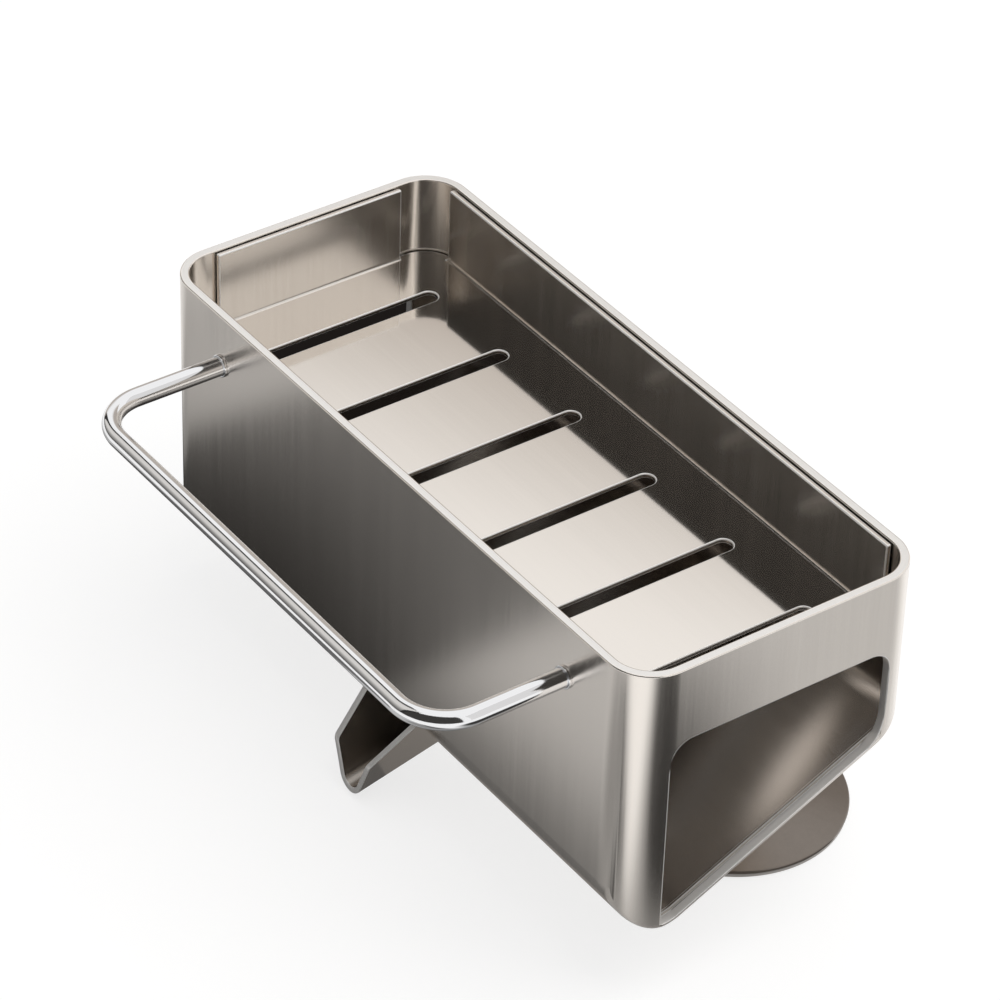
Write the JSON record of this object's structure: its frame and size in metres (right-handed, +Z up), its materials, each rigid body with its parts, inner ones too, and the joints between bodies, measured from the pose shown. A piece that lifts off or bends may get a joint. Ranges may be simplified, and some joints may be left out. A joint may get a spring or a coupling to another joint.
{
  "type": "sponge holder",
  "caption": "Free-standing steel sponge holder with a slotted lift-out tray, a sloping drip floor with a spout, open end windows, a towel bar and round feet.",
  "frame": {"origin": "centre of the footprint on the table", "axes": "+X along the length to the right as seen from the front, +Y from the towel bar and spout to the back, +Z up"},
  "size_m": [0.235, 0.162, 0.115],
  "materials": {
    "body_steel": "fine brushed",
    "floor_steel": "smooth semi-gloss",
    "tray_steel": "fine brushed",
    "foot_steel": "turned",
    "screw_steel": "plain",
    "bar_chrome": "polished",
    "pad_silicone": "matte"
  },
  "bodies": {
    "holder": {"outer_shell": "body_steel", "drip_floor": "floor_steel", "drain_spout": "floor_steel", "front_ledge": "body_steel", "rear_ledge": "body_steel", "towel_bar": "bar_chrome", "bar_collars": "bar_chrome", "bar_screws": "screw_steel", "left_foot_post": "foot_steel", "right_foot_post": "foot_steel", "left_foot_base": "foot_steel", "right_foot_base": "foot_steel", "left_foot_pad": "pad_silicone", "right_foot_pad": "pad_silicone", "foot_screws": "screw_steel", "foot_washers": "screw_steel"},
    "tray": {"slotted_tray": "tray_steel"}
  },
  "joints": [
    {"name": "tray_lift", "type": "slide", "parent": "holder", "child": "tray", "axis": [0, 0, 1], "range_m": [0, 0.04]}
  ]
}
